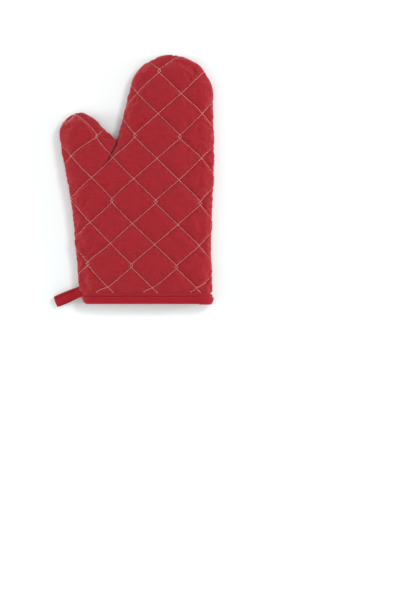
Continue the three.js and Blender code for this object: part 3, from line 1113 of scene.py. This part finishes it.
def loop_stitches(material):
    """The line of stitches that closes the folded tape, on the outside of the loop."""
    line = loop_line()
    run, facing = loop_frame(line)
    start = LOOP_BURIED + 0.003
    where = np.arange(start, run[-1] - start, STITCH_PITCH * 0.9)
    spots = at_runs(where, run, line)
    face = unit(at_runs(where, run, facing))
    ahead = np.column_stack([face[:, 1], -face[:, 0]])
    bow = BOW * (1 - STITCH_ACROSS**2) * smooth(spots[:, 0] / BOW_START)
    spots = spots + face * (TAPE / 2 * STITCH_LIFT + bow)[:, None]
    across = STITCH_ACROSS * TAPE_WIDTH / 2 + WAVER[0] * np.sin(where / WAVER[1])
    places = to_loop(*spots.T, across)
    ways = unit(to_loop(*(spots + ahead * ASIDE).T, across) - places)
    ups = unit(to_loop(*(spots + face * ASIDE).T, across) - places)
    sizes = [LOOP_STITCH] * len(where)
    return stitch_mesh("loop_tape_stitches", places, ways, ups, sizes, material)


def sewn_ends(material):
    """The two raw ends of the tape, flat in the seam between the panels."""
    quads = [(0, 1, 3, 2), (4, 6, 7, 5), (0, 4, 5, 1), (2, 3, 7, 6), (0, 2, 6, 4), (1, 5, 7, 3)]
    points, faces = [], []
    for level in (1, -1):
        base = len(points)
        for out in LOOP_ENDS:
            for across in (-TAPE_WIDTH / 2, TAPE_WIDTH / 2):
                for height in (0.00005, TAPE * 0.9):
                    points.append((out, level * height, across))
        faces += [tuple(base + v for v in quad[::level]) for quad in quads]
    placed = to_loop(*np.array(points).T)
    return make_object("loop_ends_in_seam", placed, faces, material, placed)


# ---- materials


class Nodes:
    """A short way to write a material's nodes."""

    def __init__(self, name):
        self.material = bpy.data.materials.new(name)
        self.material.use_nodes = True
        self.tree = self.material.node_tree
        self.shader = self.tree.nodes["Principled BSDF"]

    def add(self, kind, **inputs):
        node = self.tree.nodes.new(kind)
        self.fill(node, **inputs)
        return node

    def fill(self, node, **inputs):
        """Sets or links inputs of a node, with _ for a blank in their names."""
        for key, value in inputs.items():
            self.put(node, key.replace("_", " "), value)

    def put(self, node, key, value):
        socket = node.inputs[int(key)] if key.isdigit() else node.inputs[key]
        if isinstance(value, bpy.types.NodeSocket):
            self.tree.links.new(value, socket)
        else:
            socket.default_value = value

    def math(self, operation, a, b=0.0):
        node = self.tree.nodes.new("ShaderNodeMath")
        node.operation = operation
        self.put(node, "0", a)
        self.put(node, "1", b)
        return node.outputs[0]

    def plus(self, start, value, share):
        """start + share * value"""
        return self.math("ADD", start, self.math("MULTIPLY", value, share))

    def position(self):
        return self.add("ShaderNodeTexCoord").outputs["Object"]

    def noise(self, vector, stretch, detail=2.0, rough=0.5):
        """Noise whose features are stretch metres long in each direction."""
        scaled = self.tree.nodes.new("ShaderNodeVectorMath")
        scaled.operation = "MULTIPLY"
        self.put(scaled, "0", vector)
        self.put(scaled, "1", [1 / s for s in stretch])
        node = self.add("ShaderNodeTexNoise", Scale=1.0, Detail=detail, Roughness=rough)
        self.put(node, "Vector", scaled.outputs[0])
        return node.outputs["Fac"]

    def ribs(self, vector, pitch, direction):
        """Parallel ribs of yarn across a direction."""
        node = self.add("ShaderNodeTexWave", Vector=vector, Scale=math.pi / (10 * pitch))
        node.wave_type = "BANDS"
        node.bands_direction = direction
        self.fill(node, Distortion=0.6, Detail=1.0, Detail_Scale=2.0)
        return node.outputs["Fac"]

    def colour(self, colour, value):
        """Colours the material, made lighter or darker by a value."""
        tint = self.add("ShaderNodeVectorMath")
        tint.operation = "SCALE"
        self.put(tint, "0", colour)
        self.put(tint, "Scale", value)
        self.put(self.shader, "Base Color", tint.outputs[0])

    def relief(self, height, strength, distance):
        bump = self.add("ShaderNodeBump", Height=height, Strength=strength, Distance=distance)
        self.put(self.shader, "Normal", bump.outputs[0])


def cotton(name, colour, streak=0.5, mottle=0.08, sheen=0.65, nap=RED_NAP, flat=True):
    """Plain-woven cotton: crossing ribs, uneven yarns along both ways and a soft nap."""
    n = Nodes(name)
    if flat:
        place = n.add("ShaderNodeAttribute")
        place.attribute_name = "flat_cloth"
        place = place.outputs["Vector"]
    else:
        place = n.position()
    weft = n.noise(place, (0.014, 0.0011, 0.01), detail=3.0)
    warp = n.noise(place, (0.0009, 0.010, 0.01), detail=3.0)
    patch = n.noise(place, (0.02, 0.02, 0.02))
    fleck = n.noise(place, (0.0011, 0.0008, 0.001))
    yarns = n.plus(warp, weft, 1.4)
    value = n.plus(1 - 1.2 * streak - mottle, yarns, streak)
    value = n.plus(value, patch, mottle)
    value = n.plus(value, n.math("SUBTRACT", fleck, 0.5), 1.5 * streak)
    n.colour(colour, value)
    ribs = n.math("ADD", n.ribs(place, YARN_PITCH, "X"), n.ribs(place, YARN_PITCH, "Y"))
    n.relief(n.plus(n.math("MULTIPLY", ribs, 0.5), yarns, 0.8), 0.55, 0.00016)
    n.fill(n.shader, Roughness=n.plus(YARN_ROUGHNESS - 0.06, fleck, 0.12), Specular_IOR_Level=0.15)
    n.fill(n.shader, Sheen_Weight=sheen, Sheen_Roughness=0.5, Sheen_Tint=(*nap, 1.0))
    return n.material


def thread(name, colour):
    """Fine twisted thread."""
    n = Nodes(name)
    twist = n.noise(n.position(), (0.0004, 0.0003, 0.0004))
    n.colour(colour, n.plus(0.75, twist, 0.5))
    n.relief(twist, 0.5, 0.0001)
    n.fill(n.shader, Roughness=n.plus(0.6, twist, 0.2), Specular_IOR_Level=0.15)
    return n.material


def fibre(name, colour):
    """Soft wadding."""
    n = Nodes(name)
    tuft = n.noise(n.position(), (0.002, 0.002, 0.002), detail=6.0, rough=0.7)
    n.colour(colour, n.plus(0.85, tuft, 0.3))
    n.relief(tuft, 0.8, 0.0006)
    n.fill(n.shader, Roughness=0.95)
    return n.material


# ---- the picture


def camera():
    data = bpy.data.cameras.new("camera")
    data.sensor_width = 36.0
    data.lens = data.sensor_width * VIEW_DISTANCE / VIEW_HEIGHT
    holder = linked("camera", data)
    holder.location = PLACE + (VIEW_CENTRE[0], VIEW_CENTRE[1], VIEW_DISTANCE)
    bpy.context.scene.camera = holder


def table():
    """The white table under the mitt."""
    mesh = bpy.data.meshes.new("floor")
    corners = [(-1, -1), (1, -1), (1, 1), (-1, 1)]
    mesh.from_pydata([(x * FLOOR_REACH, y * FLOOR_REACH, 0) for x, y in corners], [], [(0, 1, 2, 3)])
    white = Nodes("floor_white")
    faint = white.noise(white.position(), (0.4, 0.4, 0.4))
    white.fill(white.shader, Base_Color=FLOOR_WHITE, Roughness=white.plus(0.85, faint, 0.1))
    mesh.materials.append(white.material)
    ground = linked("floor", mesh)


def lamps():
    for name, bearing, height, size, watts in LAMPS:
        lamp = bpy.data.lights.new(name, "AREA")
        lamp.shape = "DISK"
        lamp.size = size
        lamp.energy = watts
        bearing, height = math.radians(bearing), math.radians(height)
        level = math.cos(height)
        towards = Vector((level * math.cos(bearing), level * math.sin(bearing), math.sin(height)))
        obj = linked(name, lamp)
        obj.location = towards * LAMP_DISTANCE
        obj.rotation_mode = "QUATERNION"
        obj.rotation_quaternion = (-towards).to_track_quat("-Z", "Y")


def studio():
    world = bpy.data.worlds.new("studio")
    world.use_nodes = True
    sky = world.node_tree.nodes["Background"]
    sky.inputs["Color"].default_value = (1, 1, 1, 1)
    sky.inputs["Strength"].default_value = SKY
    bpy.context.scene.world = world
    bpy.context.scene.view_settings.view_transform = "Standard"


# ---- the mitt

camera()
table()
lamps()
studio()

shell_cotton = cotton("shell_cotton", SHELL_RED)
tape_cotton = cotton("tape_cotton", TAPE_RED, streak=0.3, sheen=0.4)
tape_inside = cotton("tape_ends_cotton", TAPE_RED, sheen=0.4, flat=False)
lining_cotton = cotton("lining_cotton", ECRU, streak=0.15, mottle=0.05, sheen=0.2, nap=PALE_NAP)
wadding_fibre = fibre("wadding_fibre", FIBRE_WHITE)
quilting_thread = thread("quilting_thread", THREAD_PINK)
red_thread = thread("red_thread", THREAD_RED)

for suffix, sign in (("front", 1), ("back", -1)):
    form = FORMS[sign]
    coarse = Sheet(form, COARSE)
    fine = Sheet(form, FINE)
    puffs = simulate(coarse)
    fine_outer = outer_depth(fine, carried_over(coarse, puffs, fine.points))
    hidden = outer_depth(coarse, puffs, spread=COARSE / 2) + CLOTH + LAYER_GAP
    lining_outer = np.maximum(lining_depth(coarse), hidden + LEAST_WADDING)

    shell = layer(f"{suffix}_shell_cloth", fine, fine_outer, fine_outer + CLOTH, shell_cotton)
    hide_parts(f"shell_{suffix}")
    wadding = layer(f"{suffix}_wadding", coarse, hidden, lining_outer - LAYER_GAP, wadding_fibre, COARSE)
    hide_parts(f"wadding_{suffix}")
    lining_inner = lining_outer + CLOTH
    lining = layer(f"{suffix}_lining_cloth", coarse, lining_outer, lining_inner, lining_cotton, COARSE)
    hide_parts(f"lining_{suffix}")
    stitches = quilting_stitches(f"{suffix}_quilting_stitches", fine, fine_outer, quilting_thread)
    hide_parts(f"quilting_thread_{suffix}")
    for piece in (shell, wadding, lining, stitches):
        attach(piece, "mitt")

binding = cuff_binding(tape_cotton)
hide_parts("cuff_binding")
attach(binding, "mitt")
edge_row = binding_stitches(red_thread)
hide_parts("binding_thread")
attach(edge_row, "mitt")
seam_row = seam_stitches(red_thread)
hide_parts("side_seam_thread")
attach(seam_row, "mitt")

loop = hanging_loop(tape_cotton)
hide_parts("hanging_loop")
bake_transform(loop)
loop_row = loop_stitches(red_thread)
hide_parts("loop_thread")
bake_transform(loop_row)
ends = sewn_ends(tape_inside)
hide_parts("loop_sewn_ends")
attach(ends, "mitt")
